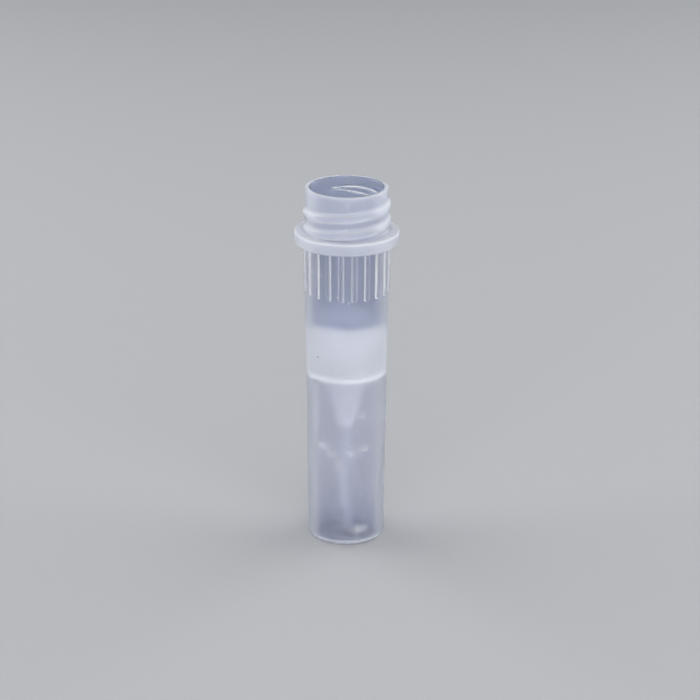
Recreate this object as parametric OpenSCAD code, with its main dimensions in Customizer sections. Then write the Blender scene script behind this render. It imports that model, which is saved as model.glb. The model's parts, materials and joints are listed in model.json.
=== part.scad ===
// Self-standing screw-neck microtube of the 0.5 ml size, moulded in one piece of natural polypropylene.
// The tube stands on its foot ring at z = 0, and +Z runs up its axis through the open mouth.
// The right-hand thread is met on its way down by a screw cap, which seals in the mouth bore.

/* [Overall] */
// Height from the foot ring to the rim
tube_h = 45; // [37:0.5:54]
// Outer diameter at the foot, before its rounded edge
foot_d = 9.34; // [8.4:0.02:11.3]
// Draft of the outer wall on each side, in degrees
wall_draft = 0.7; // [0.3:0.05:1]
// Radius of the rounded outer edge of the foot
foot_round = 0.7; // [0.2:0.05:0.8]

/* [Neck and rim] */
// Outer diameter of the neck under its thread
neck_d = 9.98; // [9.7:0.02:12]
// Length of the neck, from the rim down to the collar
neck_h = 5.35; // [4.4:0.05:6.5]
// Bore of the mouth, which the cap's plug seals in
bore_d = 8.72; // [7.2:0.02:9]
// Length of the straight bore, from the rim down
bore_land = 8; // [4:0.25:10]
// Radius of the rim's outer edge
rim_round = 0.25; // [0.1:0.05:0.3]
// Radius of the rim's inner edge
mouth_round = 0.14; // [0.05:0.01:0.25]

/* [Thread] */
// Rise of the thread in one turn
thread_pitch = 2.05; // [1.7:0.05:2.5]
// Height of the thread's ridge over the neck
thread_rise = 0.345; // [0.2:0.005:0.45]
// Width of the ridge at its root
thread_w = 1.75; // [1.2:0.05:2]
// Distance from the rim down to the thread's upper end
thread_drop = 1.38; // [1:0.02:1.8]
// Direction of the thread's upper end, in degrees from +X
thread_end = 118; // [0:1:359]
// Length of the thread's run-out, in degrees
thread_fade = 62; // [30:1:90]

/* [Collar] */
// Diameter of the collar at its upper edge
collar_d = 12.74; // [12.2:0.02:15.3]
// Thickness of the collar
collar_t = 1.5; // [1.2:0.05:1.9]
// Draft of the collar's edge, in degrees
collar_draft = 2.2; // [0:0.1:4]
// Radius of the collar's edges
collar_round = 0.2; // [0.1:0.05:0.4]
// Radius of the fillet between the neck and the collar
root_fillet = 0.3; // [0.1:0.05:0.4]

/* [Ribs] */
// Number of gripping ribs
rib_count = 20; // [12:1:24]
// Width of a rib
rib_w = 0.6; // [0.4:0.02:0.8]
// Height of a rib over the wall
rib_rise = 0.17; // [0.1:0.01:0.25]
// Length of the ribs under the collar
rib_len = 6.15; // [4:0.05:7.4]
// Direction of the first rib, in degrees from +X
rib_start = -7.6; // [-20:0.1:20]

/* [Chamber] */
// Height of the chamber's deepest point
tip_z = 14.75; // [12:0.25:18]
// Radius of the chamber's rounded tip
tip_r = 0.5; // [0.3:0.02:0.6]
// Half angle of the chamber's cone, in degrees
cone_angle = 16.4; // [14:0.2:20]
// Draft of the chamber's wall below the straight bore, in degrees
chamber_draft = 0.35; // [0.1:0.05:0.6]
// Wall of the cone
cone_wall = 0.65; // [0.5:0.01:0.8]

/* [Skirt] */
// Wall of the skirt at the foot
skirt_wall = 0.95; // [0.8:0.01:1.15]
// Draft of the skirt's inner face, in degrees
skirt_draft = 0.3; // [0.1:0.05:0.6]
// Height of the pocket between the skirt and the cone
pocket_z = 21.7; // [18:0.1:22.4]
// Depth of the shrink mark that the thick wall above the pocket leaves
sink_depth = 0.05; // [0:0.01:0.1]

/* [Gate pin] */
// Diameter of the pin where it leaves the cone
pin_d = 1.8; // [1.5:0.05:2.1]
// Diameter of the pin at its lower end
pin_end_d = 1.1; // [0.9:0.05:1.4]
// Height of the pin's lower end over the foot
pin_z = 0.5; // [0.2:0.05:1]

/* [Hidden] */
$fn = 96;
arc_steps = 6;      // straight pieces in a rounded edge of the section
sink_steps = 12;    // straight pieces in the shrink mark
sink_w = 2.2;       // reach of the shrink mark, up and down
sink_lift = 0.6;    // centre of the shrink mark above the pocket
bite = 0.25;        // depth to which ribs and thread are sunk in the wall
spill = 1;          // what a cut reaches past the face that it opens
foot_inner_round = 0.12;
ring_step = 9;      // degrees between the thread's cross-sections
ridge_points = 8;   // straight pieces across the thread's ridge

collar_top = tube_h - neck_h;
collar_bottom = collar_top - collar_t;
neck_r = neck_d / 2;
bore_r = bore_d / 2;
rib_bottom = collar_bottom - rib_len;
land_z = tube_h - bore_land;

// The outer wall: a steady draft, less the shallow shrink mark
sink_z = pocket_z + sink_lift;
function draft_r(z) = foot_d / 2 + z * tan(wall_draft);
function sink(z) = abs(z - sink_z) < sink_w ? sink_depth * (1 + cos(180 * (z - sink_z) / sink_w)) / 2 : 0;
function wall_r(z) = draft_r(z) - sink(z);

// An arc about c, from angle a to angle b
function arc(c, r, a, b) =
    [for (i = [0 : arc_steps]) let (t = a + (b - a) * i / arc_steps) c + r * [cos(t), sin(t)]];

// The chamber's cone touches the sphere of its tip at this point, and its wall higher up
tip_c = [0, tip_z + tip_r];
cone_foot = tip_c + tip_r * [cos(cone_angle), -sin(cone_angle)];
cone_top_z = (bore_r - land_z * tan(chamber_draft) - cone_foot.x + cone_foot.y * tan(cone_angle))
    / (tan(cone_angle) - tan(chamber_draft));
cone_top = [cone_foot.x + (cone_top_z - cone_foot.y) * tan(cone_angle), cone_top_z];

// The pocket's ceiling is an arc that touches the cone's outer face and the skirt's inner face
skirt_in_r = foot_d / 2 - skirt_wall;
cone_out = cone_foot + cone_wall * [cos(cone_angle), -sin(cone_angle)];
cone_reach = cos(cone_angle) * cone_out.x - sin(cone_angle) * cone_out.y;
skirt_reach = cos(skirt_draft) * skirt_in_r;
lean = cos(skirt_draft) / cos(cone_angle);
ceiling_r = (skirt_reach - sin(skirt_draft) * pocket_z - lean * (sin(cone_angle) * pocket_z + cone_reach))
    / (1 - sin(skirt_draft) + lean * (1 - sin(cone_angle)));
ceiling_c = [
    (ceiling_r * (1 - sin(cone_angle)) + sin(cone_angle) * pocket_z + cone_reach) / cos(cone_angle),
    pocket_z - ceiling_r
];

// The pin meets the cone's outer face at this height
pin_top_z = cone_out.y + (pin_d / 2 - cone_out.x) / tan(cone_angle);
pin_end_r = pin_end_d / 2;

// The thread's ridge runs down from its upper end into the collar
thread_top_z = tube_h - thread_drop;
thread_bottom_z = collar_top - collar_t / 10;
thread_sweep = 360 * (thread_top_z - thread_bottom_z) / thread_pitch;
ring_count = ceil(thread_sweep / ring_step);

// Half of the tube's outer outline
module outer_section() {
    edge_r = collar_d / 2;
    low_edge_r = edge_r - collar_t * tan(collar_draft);
    foot_r = wall_r(0);
    root = min(root_fillet, (edge_r - collar_round - neck_r) / 2);
    polygon(concat(
        [[0, 0]],
        arc([foot_r - foot_round, foot_round], foot_round, -90, 0),
        [for (i = [0 : sink_steps])
            let (z = sink_z + sink_w * (2 * i / sink_steps - 1)) [wall_r(z), z]],
        [[wall_r(collar_bottom), collar_bottom]],
        arc([low_edge_r - collar_round, collar_bottom + collar_round], collar_round, -90, 0),
        arc([edge_r - collar_round, collar_top - collar_round], collar_round, 0, 90),
        arc([neck_r + root, collar_top + root], root, 270, 180),
        arc([neck_r - rim_round, tube_h - rim_round], rim_round, 0, 90),
        [[0, tube_h]]
    ));
}

// Half of the chamber, with the flare of the mouth's rounded edge
module chamber_section() {
    polygon(concat(
        arc(tip_c, tip_r, -90, -cone_angle),
        [cone_top, [bore_r, land_z]],
        arc([bore_r + mouth_round, tube_h - mouth_round], mouth_round, 180, 90),
        [[bore_r + mouth_round, tube_h + spill], [0, tube_h + spill]]
    ));
}

// Half of the space under the skirt, around the cone and the gate pin
module pocket_section() {
    polygon(concat(
        [[0, -spill], [skirt_in_r + foot_inner_round, -spill]],
        arc([skirt_in_r + foot_inner_round, foot_inner_round], foot_inner_round, 270, 180),
        arc(ceiling_c, ceiling_r, skirt_draft, 180 - cone_angle),
        [[pin_d / 2, pin_top_z]],
        arc([0, pin_z + pin_end_r], pin_end_r, 0, -90)
    ));
}

// One rib: a bar with a round lower end, leaning with the wall's draft
module rib() {
    translate([wall_r(rib_bottom) - bite, 0, rib_bottom + rib_w / 2])
        rotate([90 + wall_draft, 0, 90])
            linear_extrude(rib_rise + bite) {
                circle(d = rib_w);
                translate([-rib_w / 2, 0]) square([rib_w, rib_len - rib_w / 2 + collar_t / 3]);
            }
}

// The thread's ridge: a rounded section that grows from nothing at both of its ends
function fade(angle) = sin(90 * min(1, max(0, angle) / thread_fade));
function ridge(i) = let (
    turned = thread_sweep * i / ring_count,
    size = 0.02 + 0.98 * min(fade(turned), fade(thread_sweep - turned)),
    a = thread_end - turned,
    z = thread_top_z - thread_pitch * turned / 360
) concat(
    [for (k = [0 : ridge_points]) let (
        u = 2 * k / ridge_points - 1,
        r = neck_r + (thread_rise + 0.03) * size * (1 + cos(180 * u)) / 2 - 0.03
    ) [r * cos(a), r * sin(a), z + u * size * thread_w / 2]],
    [for (u = [1, -1]) let (r = neck_r - bite)
        [r * cos(a), r * sin(a), z + u * size * thread_w / 2]]
);

module thread() {
    n = ridge_points + 3;
    points = [for (i = [0 : ring_count]) each ridge(i)];
    sides = [for (i = [0 : ring_count - 1], k = [0 : n - 1]) let (j = (k + 1) % n)
        [i * n + k, (i + 1) * n + k, (i + 1) * n + j, i * n + j]];
    ends = [[for (k = [0 : n - 1]) k], [for (k = [n - 1 : -1 : 0]) ring_count * n + k]];
    polyhedron(points, concat(sides, ends), convexity = 6);
}

// The whole moulding
module tube() {
    color([0.86, 0.88, 0.93, 0.75]) union() {
        rotate_extrude() difference() {
            outer_section();
            chamber_section();
            pocket_section();
        }
        for (i = [0 : rib_count - 1])
            rotate(rib_start + i * 360 / rib_count) rib();
        thread();
    }
}

tube();
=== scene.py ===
import json
import math
from collections import namedtuple

import bpy
import numpy as np
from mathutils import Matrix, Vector

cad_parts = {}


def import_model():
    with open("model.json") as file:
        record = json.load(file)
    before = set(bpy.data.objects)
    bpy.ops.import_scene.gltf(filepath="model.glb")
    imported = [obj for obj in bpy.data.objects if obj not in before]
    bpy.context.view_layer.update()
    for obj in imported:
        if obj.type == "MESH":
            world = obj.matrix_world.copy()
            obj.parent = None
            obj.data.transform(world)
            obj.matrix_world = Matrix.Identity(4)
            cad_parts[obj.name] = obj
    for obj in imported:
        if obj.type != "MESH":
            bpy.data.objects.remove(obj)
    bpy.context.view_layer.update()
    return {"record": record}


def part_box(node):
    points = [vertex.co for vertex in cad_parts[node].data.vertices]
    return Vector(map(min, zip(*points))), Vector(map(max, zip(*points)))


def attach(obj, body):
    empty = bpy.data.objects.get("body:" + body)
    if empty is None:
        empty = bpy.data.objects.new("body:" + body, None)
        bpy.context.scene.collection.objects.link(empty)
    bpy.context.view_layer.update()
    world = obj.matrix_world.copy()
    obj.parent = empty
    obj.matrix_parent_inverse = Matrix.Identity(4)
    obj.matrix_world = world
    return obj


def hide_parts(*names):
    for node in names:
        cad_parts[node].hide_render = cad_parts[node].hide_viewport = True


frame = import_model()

# A self-standing screw-neck microtube, moulded in one piece of natural polypropylene.
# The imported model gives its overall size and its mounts. The sizes below, in millimetres and
# degrees, add the moulded detail, and everything else is worked out from them.

MM = 0.001
TURN = 360.0

high_corner = np.array(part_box("tube")[1]) / MM
mounts = {mount["name"]: mount for mount in frame["record"]["mounts"]}
mouth_bore = mounts["mouth_bore"]

# Overall
tube_h = high_corner[2]
collar_r = high_corner[0]
foot_r = 4.67
wall_draft = 0.7
foot_round = 0.7
foot_inner_round = 0.12

# Neck and rim
neck_r = 4.99
rim_round = 0.25
bore_r = mouth_bore["dims"]["r_mm"]
mouth_round = 0.14
land_z = mouth_bore["pos_m"][2] / MM - mouth_bore["dims"]["length_mm"]

# Collar
collar_bottom = mounts["collar_underside"]["pos_m"][2] / MM
collar_t = 1.5
collar_top = collar_bottom + collar_t
collar_draft = 2.2
collar_round = 0.2
root_fillet = 0.3

# Thread: one right-hand ridge from its upper end down into the collar
thread_pitch = 2.05
thread_rise = 0.345
thread_w = 1.75
thread_end = 118.0
thread_fade = 62.0
thread_top_z = tube_h - 1.38
thread_bottom_z = collar_top - collar_t / 10

# Ribs
rib_count = 20
rib_pitch = TURN / rib_count
rib_w = 0.6
rib_rise = 0.17
rib_start = -7.6
rib_bottom = collar_bottom - 6.15
rib_shoulder = 0.1

# Chamber
tip_z = 14.75
tip_r = 0.5
cone_angle = 16.4
chamber_draft = 0.35
cone_wall = 0.65

# Skirt, with the pocket between it and the cone
skirt_in_r = foot_r - 0.95
skirt_draft = 0.3
pocket_z = 21.7
ceiling_r = 0.29
sink_depth = 0.05
sink_reach = 2.2
sink_z = pocket_z + 0.6

# Gate pin
pin_r = 0.9
pin_end_r = 0.55
pin_z = 0.5


def slope(degrees):
    return math.tan(math.radians(degrees))


def wall_r(z):
    """Radius of the outer wall's steady draft."""
    return foot_r + z * slope(wall_draft)


def collar_edge_r(z):
    """Radius of the collar's drafted edge."""
    return collar_r - (collar_top - z) * slope(collar_draft)


def skirt_r(z):
    """Radius of the skirt's inner face."""
    return skirt_in_r - z * slope(skirt_draft)


def cone_r(z):
    """Radius of the chamber's cone."""
    centre_z = tip_z + tip_r
    return tip_r / math.cos(math.radians(cone_angle)) + (z - centre_z) * slope(cone_angle)


def cone_outside_r(z):
    """Radius of the cone's outer face, under the pocket's ceiling."""
    return cone_r(z) + cone_wall / math.cos(math.radians(cone_angle))


def chamber_r(z):
    """Radius of the chamber's wall between the straight bore and the cone."""
    return bore_r - (land_z - z) * slope(chamber_draft)


def crossing(upper, lower, a, b):
    """Height between a and b at which two faces that are straight in section meet."""
    gap_a, gap_b = upper(a) - lower(a), upper(b) - lower(b)
    return a + (b - a) * gap_a / (gap_a - gap_b)


# ---------------------------------------------------------------- the section

# How a face looks: how white its plastic is, from 0 to 1, how much of the light it scatters before
# any goes through, and how rough it is. Faces with thick plastic behind them scatter more. Some
# faces are painted whiter as highlights or darker as shade, as marked below.
Look = namedtuple("Look", "milk veil rough")
LOOKS = {
    "pin": Look(1.0, 0.5, 0.8),
    "pin side": Look(1.0, 0.55, 0.8),
    "cone outside": Look(1.0, 0.97, 0.6),
    "pocket ceiling": Look(1.0, 0.9, 0.6),
    "skirt inside": Look(1.0, 0.01, 0.1),
    # Painted shade: the skirt's inside low down is tinted darker
    "skirt inside, low": Look(0.55, 0.01, 0.1),
    "foot ring": Look(0.5, 0.3, 0.6),
    # Painted highlight: the foot's round edge is whiter and milkier than the wall
    "foot edge": Look(1.0, 0.3, 0.6),
    "skirt wall": Look(0.88, 0.012, 0.295),
    # Painted highlight: a whiter, milkier line on the outer wall where the pocket's ceiling lies
    # behind it
    "ceiling line": Look(1.0, 0.33, 0.31),
    "band, lowest": Look(0.95, 0.33, 0.4),
    "band, low": Look(0.95, 0.30, 0.38),
    "band": Look(0.95, 0.25, 0.36),
    "band, high": Look(0.95, 0.20, 0.36),
    "upper wall": Look(1.0, 0.07, 0.31),
    # Painted shade: a darker tint under the collar, where it meets the wall
    "collar underside": Look(0.7, 0.1, 0.41),
    "collar low edge": Look(0.96, 0.36, 0.6),
    "collar side": Look(0.9, 0.32, 0.6),
    "collar side, high": Look(0.95, 0.35, 0.6),
    "collar top edge": Look(0.96, 0.44, 0.6),
    "collar top": Look(0.95, 0.42, 0.6),
    "neck": Look(0.9, 0.22, 0.5),
    # Painted highlight: the rim is whiter and milkier than the neck
    "rim": Look(0.95, 0.35, 0.5),
    # The clear plastic's dark blue tint, deepened here as painted shade inside the mouth
    "bore": Look(0.0, 0.03, 0.18),
    "chamber": Look(0.0, 0.03, 0.2),
    "chamber cone": Look(1.0, 0.55, 0.9),
    "chamber tip": Look(1.0, 0.7, 0.9),
}

# A corner of the section: the face that starts there, the spacing of the rows on that face, and
# the rounding of the corner with the number of straight pieces in its arc
Corner = namedtuple("Corner", "r z face spacing rounding pieces", defaults=(0, 0))


def on_wall(z, face, spacing):
    return Corner(wall_r(z), z, face, spacing)


def outline():
    """Corners of half the section, from the gate pin's end round the outside to the chamber."""
    low_edge_r = collar_edge_r(collar_bottom)
    low_side = collar_bottom + 0.35
    high_side = collar_top - 0.3
    pin_top = crossing(cone_outside_r, lambda z: pin_r, 0, tube_h)
    ceiling = crossing(cone_outside_r, skirt_r, 0, tube_h)
    cone_top = crossing(cone_r, chamber_r, 0, tube_h)
    return [
        Corner(0, pin_z, "pin", 1),
        Corner(pin_end_r, pin_z, "pin", 1.1, 0.98 * pin_end_r, 6),
        Corner(pin_r, pin_top, "pin side", 1, 0.8, 3),
        Corner(cone_outside_r(tip_z), tip_z, "cone outside", 0.5),
        Corner(skirt_r(ceiling), ceiling, "pocket ceiling", 0.3, ceiling_r, 10),
        Corner(skirt_r(pocket_z - 1), pocket_z - 1, "skirt inside", 1.2),
        # Painted shade on the skirt's inside from here down
        Corner(skirt_r(4), 4, "skirt inside, low", 1.2),
        Corner(skirt_in_r, 0, "foot ring", 1, foot_inner_round, 4),
        # The foot's round edge carries a painted highlight
        Corner(foot_r, 0, "foot edge", 0.75, foot_round, 8),
        on_wall(1.15 * foot_round, "skirt wall", 2),
        on_wall(sink_z - sink_reach, "skirt wall", 0.5),
        on_wall(pocket_z - 0.2, "skirt wall", 0.15),
        # Painted highlight line round the outer wall at the pocket's ceiling
        on_wall(pocket_z - 0.05, "ceiling line", 0.15),
        on_wall(pocket_z + 0.15, "ceiling line", 0.15),
        on_wall(pocket_z + 0.35, "band, lowest", 0.75),
        on_wall(pocket_z + 0.75, "band, low", 0.75),
        on_wall(pocket_z + 1.2, "band", 0.75),
        on_wall(cone_top - 0.1, "band, high", 0.5),
        on_wall(cone_top + 0.55, "upper wall", 0.75),
        on_wall(rib_bottom - rib_shoulder, "upper wall", 0.033),
        on_wall(rib_bottom + rib_w / 2 + rib_shoulder, "upper wall", 0.95),
        Corner(wall_r(collar_bottom), collar_bottom - 0.15, "upper wall", 0.15),
        # Painted shade on the collar's underside
        Corner(wall_r(collar_bottom), collar_bottom, "collar underside", 0.5, 0.05, 2),
        Corner(low_edge_r, collar_bottom, "collar low edge", 0.6, collar_round, 5),
        Corner(collar_edge_r(low_side), low_side, "collar side", 0.3),
        Corner(collar_edge_r(high_side), high_side, "collar side, high", 0.3),
        Corner(collar_r, collar_top, "collar top edge", 0.3, collar_round, 5),
        Corner(collar_r - 0.4, collar_top, "collar top", 0.3),
        Corner(neck_r, collar_top, "neck", 0.069, root_fillet, 5),
        # The rim's round carries a painted highlight
        Corner(neck_r, tube_h, "rim", 0.12, rim_round, 7),
        # The bore is tinted darker as painted shade inside the mouth
        Corner(bore_r, tube_h, "bore", 0.1, mouth_round, 5),
        Corner(bore_r, collar_top, "bore", 1),
        Corner(bore_r, land_z, "chamber", 1),
        Corner(chamber_r(cone_top + 0.6), cone_top + 0.6, "chamber", 0.6),
        Corner(chamber_r(cone_top), cone_top, "chamber cone", 1, 0.3, 3),
        Corner(cone_r(tip_z), tip_z, "chamber tip", 1, 0.999 * tip_r, 7),
        Corner(0, tip_z, "chamber tip", 1),
    ]


def arc(before, corner, after, radius, steps):
    """Points of the arc that touches both sides of a corner."""
    back, ahead = before - corner, after - corner
    back, ahead = back / np.hypot(*back), ahead / np.hypot(*ahead)
    half = math.acos(np.clip(back @ ahead, -1, 1)) / 2
    middle = (back + ahead) / np.hypot(*(back + ahead))
    centre = corner + middle * radius / math.sin(half)
    start = corner + back * radius / math.tan(half) - centre
    finish = corner + ahead * radius / math.tan(half) - centre
    sweep = math.pi - 2 * half
    return [
        centre + (start * math.sin(sweep - turn) + finish * math.sin(turn)) / math.sin(sweep)
        for turn in np.linspace(0, sweep, steps + 1)
    ]


def rounded_path(corners):
    """Points along the corners, with the roundings there, and the Look at each point."""
    place = np.array([corner[:2] for corner in corners], float)
    pieces = [[point] for point in place]
    for i, corner in enumerate(corners):
        if corner.pieces:
            pieces[i] = arc(place[i - 1], place[i], place[i + 1], corner.rounding, corner.pieces)
    path, looks = [place[0]], [LOOKS[corners[0].face]]
    for corner, piece, following in zip(corners, pieces, pieces[1:]):
        gap = following[0] - piece[-1]
        count = max(1, round(np.hypot(*gap) / corner.spacing))
        for point in [*piece, *(piece[-1] + gap * k / count for k in range(1, count))]:
            if np.hypot(*(point - path[-1])) > 0.001:
                path.append(point)
                looks.append(LOOKS[corner.face])
    return np.array(path + [place[-1]]), np.array(looks + [LOOKS[corners[-1].face]])


# ---------------------------------------------------------------- ribs and thread


def station_angles(z):
    """Angles of one row's points, which crowd at the ribs' edges and follow their round ends."""
    half = math.degrees(rib_w / 2 / wall_r(rib_bottom))
    below = np.clip((rib_bottom + rib_w / 2 - z) / (rib_w / 2), 0, 1)
    closing = max(0.45, math.sqrt(1 - below ** 2))
    opening = np.clip((rib_bottom - z) / 1.5, 0, 1)
    edge = half * (closing + (1 - closing) * opening)
    on_rib = edge * np.array([0.8, 0.93, 1.04, 1.14])
    beside = on_rib[-1] + (rib_pitch / 2 - on_rib[-1]) * np.array([0.25, 0.6])
    right = np.concatenate([on_rib, beside])
    one = np.concatenate([-right[::-1], [0], right, [rib_pitch / 2]])
    return (rib_start + rib_pitch * np.arange(rib_count)[:, None] + one).ravel()


def smooth(x):
    x = np.clip(x, 0, 1)
    return x * x * (3 - 2 * x)


def line(distance, half_width, peak=1.0):
    """1 along a line and 0 away from it. A peak over 1 widens the part that is fully 1."""
    return np.clip(peak - np.abs(distance) / half_width, 0, 1)


def inside_rib(angles, z):
    """Distance in from the nearest rib's outline, which has a round lower end."""
    aside = (angles - rib_start + rib_pitch / 2) % rib_pitch - rib_pitch / 2
    across = np.radians(aside) * wall_r(z)
    down = np.minimum(z - (rib_bottom + rib_w / 2), 0)
    return rib_w / 2 - np.hypot(across, down)


def rib_height(angles, z):
    """Height of the ribs over the wall, with soft edges."""
    return rib_rise * smooth((inside_rib(angles, z) + 0.045) / rib_shoulder)


def rib_highlight(angles, z):
    """1 along the ribs' edges and 0 away from them: a painted highlight, whiter and milkier plastic
    where light would gather.
    """
    return line(inside_rib(angles, z), 0.09, 1.1)


def thread_turns(angles, z):
    """For each turn of the thread: how full its ridge is there, and how far across the ridge the
    place is, from -1 to 1."""
    sweep = TURN * (thread_top_z - thread_bottom_z) / thread_pitch
    for turn in range(math.ceil(sweep / TURN)):
        turned = (thread_end - angles) % TURN + TURN * turn
        left = np.clip(np.minimum(turned, sweep - turned) / thread_fade, 0, 1)
        size = (0.02 + 0.98 * np.sin(left * math.pi / 2)) * (turned <= sweep)
        middle_z = thread_top_z - thread_pitch * turned / TURN
        yield size, np.clip((z - middle_z) / (np.maximum(size, 0.02) * thread_w / 2), -1, 1)


def thread_height(angles, z):
    """Height of the thread's ridge over the neck, where the highest of its turns counts."""
    turns = thread_turns(angles, z)
    ridges = [thread_rise * size * (1 + np.cos(math.pi * across)) / 2 for size, across in turns]
    return np.max(ridges, axis=0)


def thread_highlight(angles, z):
    """1 along both sides of the ridge's crest and 0 away from them: a painted highlight, whiter and
    milkier plastic where light would gather.
    """
    turns = thread_turns(angles, z)
    lines = [line(np.abs(across) - 0.45, 0.12, 1.2) * (size > 0.02) for size, across in turns]
    return np.max(lines, axis=0)


def sink(z):
    """Depth of the shrink mark around the thick wall above the pocket."""
    u = np.clip((z - sink_z) / sink_reach, -1, 1)
    return sink_depth * (1 + np.cos(math.pi * u)) / 2


# ---------------------------------------------------------------- the skin


def skin_row(r, z, outside):
    """The points of one row round the axis, and how strong the painted highlight along the ribs'
    and thread's edges is at each of them. The thread's painted highlight lines are stronger in the
    bore, where they are seen through the open mouth."""
    near = 0.001
    bore_highlight_gain = 2.4
    angles = station_angles(z)
    radius = np.full_like(angles, r)
    edge = np.zeros_like(angles)
    if outside and z < collar_bottom + near and r < wall_r(collar_bottom) + near:
        radius = radius - sink(z) + rib_height(angles, z)
    elif outside and z > collar_top - near:
        radius = np.maximum(radius, neck_r + thread_height(angles, z))
    if outside and z < collar_bottom:
        edge = rib_highlight(angles, z)
    elif z > collar_top and r > bore_r - near:
        edge = thread_highlight(angles, z) * (1 if outside else bore_highlight_gain)
    turn = np.radians(angles)
    points = np.column_stack([radius * np.cos(turn), radius * np.sin(turn), np.full_like(turn, z)])
    return points, edge


def skin_faces(rows, count):
    """Faces between the rows, and fans to the first and the last point, which are on the axis."""
    faces = []
    for i in range(rows - 1):
        for j in range(count):
            a, b = 1 + i * count + j, 1 + i * count + (j + 1) % count
            faces.append((a, b, b + count, a + count))
    last = 1 + (rows - 1) * count
    for j in range(count):
        k = (j + 1) % count
        faces.append((0, 1 + k, 1 + j))
        faces.append((last + j, last + k, last + count))
    return faces


def tube_mesh():
    """The whole moulding as one closed skin: rows along the section, stations round the axis."""
    path, looks = rounded_path(outline())
    rows = path[1:-1]
    foot_row = int(np.argmax((rows[:, 1] < 0.001) & (rows[:, 0] > skirt_in_r)))
    rim_row = int(np.argmax(rows[:, 1] > tube_h - 0.001))
    skin = [skin_row(r, z, foot_row <= i < rim_row) for i, (r, z) in enumerate(rows)]
    points, edges = zip(*skin)
    count = len(points[0])
    first, last = ([[0, 0, path[end][1]]] for end in (0, -1))
    vertices = np.concatenate([first, *points, last])
    mesh = bpy.data.meshes.new("tube_skin")
    mesh.from_pydata((vertices * MM).tolist(), [], skin_faces(len(rows), count))
    mesh.shade_smooth()
    mesh.validate()
    milk, veil, rough = np.repeat(looks, [1] + [count] * len(rows) + [1], axis=0).T
    # edge: the painted highlight lines along the ribs' and thread's edges
    edge = np.concatenate([[0], *edges, [0]])
    layers = {"milk": milk, "veil": veil, "rough": rough, "edge": edge}
    for name, values in layers.items():
        layer = mesh.attributes.new(name, "FLOAT", "POINT")
        layer.data.foreach_set("value", values.astype(np.float32))
    return mesh


def new_object(name, data):
    made = bpy.data.objects.new(name, data)
    bpy.context.scene.collection.objects.link(made)
    return made


# ---------------------------------------------------------------- nodes


def node_material(name):
    """A material with an empty node tree and its output node."""
    material = bpy.data.materials.new(name)
    material.use_nodes = True
    tree = material.node_tree
    tree.nodes.clear()
    return material, tree, tree.nodes.new("ShaderNodeOutputMaterial")


def blend(tree, factor, low, high):
    """A colour that goes from low to high with a factor."""
    mix = tree.nodes.new("ShaderNodeMix")
    mix.data_type = "RGBA"
    for socket, value in ((mix.inputs[0], factor), (mix.inputs[6], low), (mix.inputs[7], high)):
        if isinstance(value, bpy.types.NodeSocket):
            tree.links.new(value, socket)
        else:
            socket.default_value = (*value, 1)
    return mix.outputs[2]


def combine(tree, operation, *values):
    """A number that a maths operation makes of values, each a number or a socket."""
    node = tree.nodes.new("ShaderNodeMath")
    node.operation = operation
    for socket, value in zip(node.inputs, values):
        if isinstance(value, bpy.types.NodeSocket):
            tree.links.new(value, socket)
        else:
            socket.default_value = value
    return node.outputs[0]


def strongest(tree, values):
    """The greatest of some numbers."""
    most = values[0]
    for value in values[1:]:
        most = combine(tree, "MAXIMUM", most, value)
    return most


def ramp(tree, value, low, high):
    """A smooth step, from 0 where a value is at low to 1 where it is at high."""
    node = tree.nodes.new("ShaderNodeMapRange")
    node.interpolation_type = "SMOOTHSTEP"
    node.inputs["From Min"].default_value = low
    node.inputs["From Max"].default_value = high
    tree.links.new(value, node.inputs["Value"])
    return node.outputs["Result"]


def attribute(tree, name):
    node = tree.nodes.new("ShaderNodeAttribute")
    node.attribute_name = name
    return node.outputs["Fac"]


def length(tree, vector):
    node = tree.nodes.new("ShaderNodeVectorMath")
    node.operation = "LENGTH"
    tree.links.new(vector, node.inputs[0])
    return node.outputs["Value"]


def noise(tree, place, per_mm, detail):
    """Noise from 0 to 1, with about so many grains to the millimetre."""
    node = tree.nodes.new("ShaderNodeTexNoise")
    node.inputs["Scale"].default_value = per_mm / MM
    node.inputs["Detail"].default_value = detail
    tree.links.new(place, node.inputs["Vector"])
    return node.outputs["Fac"]


def mark(tree, place, spot):
    """A spot's strength in the middle of a mark on the outer wall, fading to 0 at its edge."""
    turn = math.radians(spot.angle)
    r = (neck_r if spot.z > collar_top else wall_r(spot.z)) * MM
    on_spot = tree.nodes.new("ShaderNodeMapping")
    on_spot.vector_type = "TEXTURE"
    on_spot.inputs["Location"].default_value = (r * math.cos(turn), r * math.sin(turn), spot.z * MM)
    on_spot.inputs["Rotation"].default_value = (0, 0, turn)
    on_spot.inputs["Scale"].default_value = (mark_depth * MM, spot.across * MM, spot.up * MM)
    tree.links.new(place, on_spot.inputs["Vector"])
    shape = ramp(tree, length(tree, on_spot.outputs["Vector"]), 1.0, spot.core)
    return combine(tree, "MULTIPLY", shape, spot.strength)


# ---------------------------------------------------------------- materials

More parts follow.
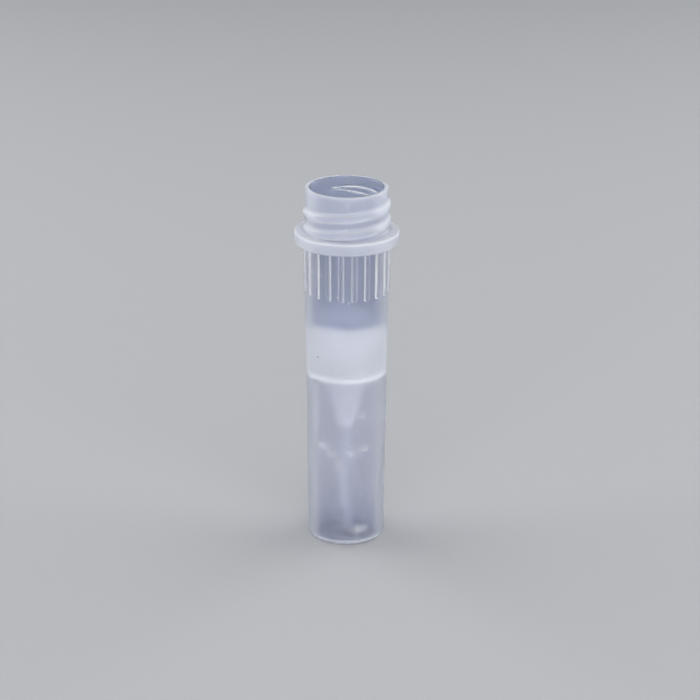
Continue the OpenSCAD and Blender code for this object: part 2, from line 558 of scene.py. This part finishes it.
# Marks of handling: the direction and height of each, how far it reaches to the side and up, how
# much of it is full, and how strong it is
Spot = namedtuple("Spot", "angle z across up core strength")
SCUFFS = [
    Spot(-126, 13.1, 1.5, 0.9, 0.1, 0.68),
    Spot(-112, 12.3, 1.1, 0.9, 0.1, 0.62),
    Spot(-101, 10.8, 0.9, 1.2, 0.1, 0.52),
    Spot(-84, 12.3, 1.2, 0.8, 0.1, 0.52),
    Spot(-64, 13.0, 1.3, 0.8, 0.1, 0.38),
    Spot(-66, 17.2, 0.9, 1.0, 0.1, 0.4),
]
SPECKS_AND_FOOT_PATCH = [
    Spot(-61.6, 12.67, 0.6, 0.12, 0.5, 0.6),
    Spot(-82.5, 12.1, 0.18, 0.2, 0.4, 0.8),
    Spot(-67, 6.8, 0.2, 0.2, 0.4, 0.5),
    Spot(-91.1, 41.13, 0.18, 0.18, 0.5, 1),
    Spot(-125.3, 42.32, 0.15, 0.15, 0.5, 1),
    Spot(-102.4, 32.65, 0.18, 0.18, 0.5, 1),
    Spot(-87.2, 31.99, 0.14, 0.14, 0.5, 1),
    Spot(-127.0, 35.06, 0.15, 0.15, 0.5, 1),
    # A lighter, whiter and milkier patch low on the wall near the foot
    Spot(-70, 2.2, 1.9, 1.0, 0.0, 0.42),
]
SOOT = Spot(-133.9, 24.55, 0.17, 0.17, 0.4, 0.7)
mark_depth = 0.6

CLEAR_COLOUR = (0.375, 0.435, 0.615)
MILKY_COLOUR = (0.885, 0.90, 0.985)
BRIGHT_COLOUR = (0.97, 0.975, 1.0)
SOOT_COLOUR = (0.12, 0.13, 0.16)


def polypropylene():
    """Milky, half-clear natural polypropylene, with the scuffs and dust of handling, a lighter
    patch low near the foot, and painted highlight lines along the ribs' and thread's edges.
    """
    material, tree, out = node_material("natural_polypropylene")
    shader = tree.nodes.new("ShaderNodeBsdfPrincipled")
    place = tree.nodes.new("ShaderNodeTexCoord").outputs["Object"]

    # The wear: torn patches low on the front, specks of dust, and a lighter, milkier patch low near
    # the foot
    torn = ramp(tree, noise(tree, place, 4.5, 4.0), 0.25, 0.75)
    patches = strongest(tree, [mark(tree, place, spot) for spot in SCUFFS])
    scuffs = combine(tree, "MULTIPLY", torn, patches)
    specks_and_foot_patch = strongest(tree, [mark(tree, place, spot) for spot in SPECKS_AND_FOOT_PATCH])
    wear_and_foot_patch = combine(tree, "MAXIMUM", scuffs, specks_and_foot_patch)
    soot = mark(tree, place, SOOT)

    # Uneven milkiness: slow clouds, and fine frosting from the mould's faces
    clouds = noise(tree, place, 0.22, 2.0)
    frost = noise(tree, place, 6.0, 2.0)
    cloudy = combine(tree, "MULTIPLY_ADD", clouds, 0.6, 0.7)
    frosted = combine(tree, "MULTIPLY_ADD", frost, 0.4, 0.8)

    # The colour, which is brightest along the painted highlight lines at the edges, on the wear and
    # the patch near the foot, and on the cone
    # Painted highlight: whiter, milkier plastic along the ribs' and thread's edges
    edge = attribute(tree, "edge")
    face_veil = attribute(tree, "veil")
    cone = ramp(tree, face_veil, 0.92, 0.97)
    milk = strongest(tree, [attribute(tree, "milk"), edge, wear_and_foot_patch])
    colour = blend(tree, milk, CLEAR_COLOUR, MILKY_COLOUR)
    colour = blend(tree, strongest(tree, [edge, wear_and_foot_patch, cone]), colour, BRIGHT_COLOUR)
    colour = blend(tree, soot, colour, SOOT_COLOUR)
    tree.links.new(colour, shader.inputs["Base Color"])

    # How much light goes through
    haze = combine(tree, "MULTIPLY", combine(tree, "MULTIPLY", face_veil, cloudy), frosted)
    # The painted highlight lines scatter more of the light before any goes through
    lines = combine(tree, "MULTIPLY", edge, 0.42)
    worn_and_foot_patch = combine(tree, "MULTIPLY", wear_and_foot_patch, 0.6)
    veil = strongest(tree, [haze, lines, worn_and_foot_patch, soot])
    tree.links.new(combine(tree, "SUBTRACT", 1, veil), shader.inputs["Transmission Weight"])

    rough = combine(tree, "MULTIPLY_ADD", wear_and_foot_patch, 0.2, attribute(tree, "rough"))
    tree.links.new(rough, shader.inputs["Roughness"])
    shader.inputs["IOR"].default_value = 1.49
    shader.inputs["Subsurface Weight"].default_value = 1
    shader.inputs["Subsurface Radius"].default_value = (1, 1, 1)
    shader.inputs["Subsurface Scale"].default_value = 0.8 * MM
    bump = tree.nodes.new("ShaderNodeBump")
    bump.inputs["Strength"].default_value = 0.15
    bump.inputs["Distance"].default_value = 0.02 * MM
    relief = combine(tree, "ADD", frost, combine(tree, "MULTIPLY", wear_and_foot_patch, 2))
    tree.links.new(relief, bump.inputs["Height"])
    tree.links.new(bump.outputs["Normal"], shader.inputs["Normal"])
    tree.links.new(shader.outputs["BSDF"], out.inputs["Surface"])

    scatter = tree.nodes.new("ShaderNodeVolumeScatter")
    scatter.inputs["Color"].default_value = (0.80, 0.88, 1.0, 1)
    scatter.inputs["Density"].default_value = 180
    scatter.inputs["Anisotropy"].default_value = 0.3
    tree.links.new(scatter.outputs["Volume"], out.inputs["Volume"])
    return material


# The world's colour, how strongly it lights, and how bright it is where it is seen
WORLD_COLOUR = (0.9, 0.95, 1.0, 1)
WORLD_LIGHT = 0.28
WORLD_SEEN = 0.48

# Distances from the tube between which the floor fades into the world's colour, and its reach
fade_from = 300
fade_to = 900
floor_reach = 6000


def seen_rays(tree):
    """1 for the rays that carry a picture, and 0 for those that only carry light."""
    path = tree.nodes.new("ShaderNodeLightPath")
    rays = [path.outputs[f"Is {ray} Ray"] for ray in ("Camera", "Glossy", "Transmission")]
    return strongest(tree, rays)


def floor_material():
    """A plain pale floor, which fades into the world's colour far from the lamps."""
    material, tree, out = node_material("pale_floor")
    shader = tree.nodes.new("ShaderNodeBsdfPrincipled")
    shader.inputs["Base Color"].default_value = (0.40, 0.405, 0.42, 1)
    shader.inputs["Roughness"].default_value = 0.5
    shader.inputs["Specular IOR Level"].default_value = 0.05

    glow = tree.nodes.new("ShaderNodeEmission")
    glow.inputs["Color"].default_value = WORLD_COLOUR
    glow.inputs["Strength"].default_value = WORLD_SEEN
    place = tree.nodes.new("ShaderNodeTexCoord").outputs["Object"]
    far = ramp(tree, length(tree, place), fade_from * MM, fade_to * MM)
    mix = tree.nodes.new("ShaderNodeMixShader")
    tree.links.new(combine(tree, "MULTIPLY", far, seen_rays(tree)), mix.inputs["Fac"])
    tree.links.new(shader.outputs["BSDF"], mix.inputs[1])
    tree.links.new(glow.outputs["Emission"], mix.inputs[2])
    tree.links.new(mix.outputs["Shader"], out.inputs["Surface"])
    return material


# ---------------------------------------------------------------- the stage

tube_middle = (0, 0, 22)


def aimed(thing, place, target, roll=0.0):
    """Puts a lamp or the camera at a place, looking at a target, both in millimetres."""
    way = Vector(target) - Vector(place)
    thing.matrix_world = way.to_track_quat("-Z", "Y").to_matrix().to_4x4()
    thing.location = Vector(place) * MM
    thing.rotation_euler.rotate_axis("Z", roll)
    return thing


def camera():
    """The camera looks along +Y and down at the tube, from where the photographer stood, and a
    little past the tube's middle, so that the tube stands in the photograph's place."""
    distance = 330.0
    elevation = math.radians(20.49)
    aside, above = 0.43, 2.15
    roll = 0.003
    outward = Vector((0, -math.cos(elevation), math.sin(elevation)))
    place = Vector(tube_middle) + distance * outward
    data = bpy.data.cameras.new("camera")
    data.lens = 138.3
    data.sensor_width = 36
    data.clip_start = 0.01
    data.clip_end = 10
    target = Vector(tube_middle) + Vector((aside, 0, above))
    bpy.context.scene.camera = aimed(new_object("camera", data), place, target, roll)


def softbox(name, place, width, height, watts):
    """A soft lamp, aimed at the tube's middle."""
    data = bpy.data.lights.new(name, "AREA")
    data.shape = "RECTANGLE"
    data.size, data.size_y = width * MM, height * MM
    data.energy = watts
    aimed(new_object(name, data), place, tube_middle)


def studio():
    softbox("left_softbox", (-330, 130, 150), 450, 390, 1.45)
    softbox("right_softbox", (330, 130, 150), 450, 390, 1.3)
    softbox("top_softbox", (0, 40, 420), 390, 390, 0.5)
    softbox("front_softbox", (45, -420, 120), 600, 300, 2.3)


def world():
    """Even light from all round, which is brighter where it is seen than where it lights."""
    made = bpy.data.worlds.new("studio")
    bpy.context.scene.world = made
    made.use_nodes = True
    tree = made.node_tree
    background = tree.nodes["Background"]
    background.inputs["Color"].default_value = WORLD_COLOUR
    extra = WORLD_SEEN - WORLD_LIGHT
    strength = combine(tree, "MULTIPLY_ADD", seen_rays(tree), extra, WORLD_LIGHT)
    tree.links.new(strength, background.inputs["Strength"])


def floor():
    half = floor_reach * MM
    mesh = bpy.data.meshes.new("floor")
    corners = [(-half, -half, 0), (half, -half, 0), (half, half, 0), (-half, half, 0)]
    mesh.from_pydata(corners, [], [(0, 1, 2, 3)])
    mesh.materials.append(floor_material())
    new_object("floor", mesh)


# ---------------------------------------------------------------- the scene

scene = bpy.context.scene
scene.view_settings.view_transform = "Standard"
scene.cycles.max_bounces = 64
scene.cycles.transmission_bounces = 24
scene.cycles.volume_bounces = 48

mesh = tube_mesh()
mesh.materials.append(polypropylene())
tube = new_object("tube_moulding", mesh)
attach(tube, "root")
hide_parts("tube")

camera()
floor()
world()
studio()
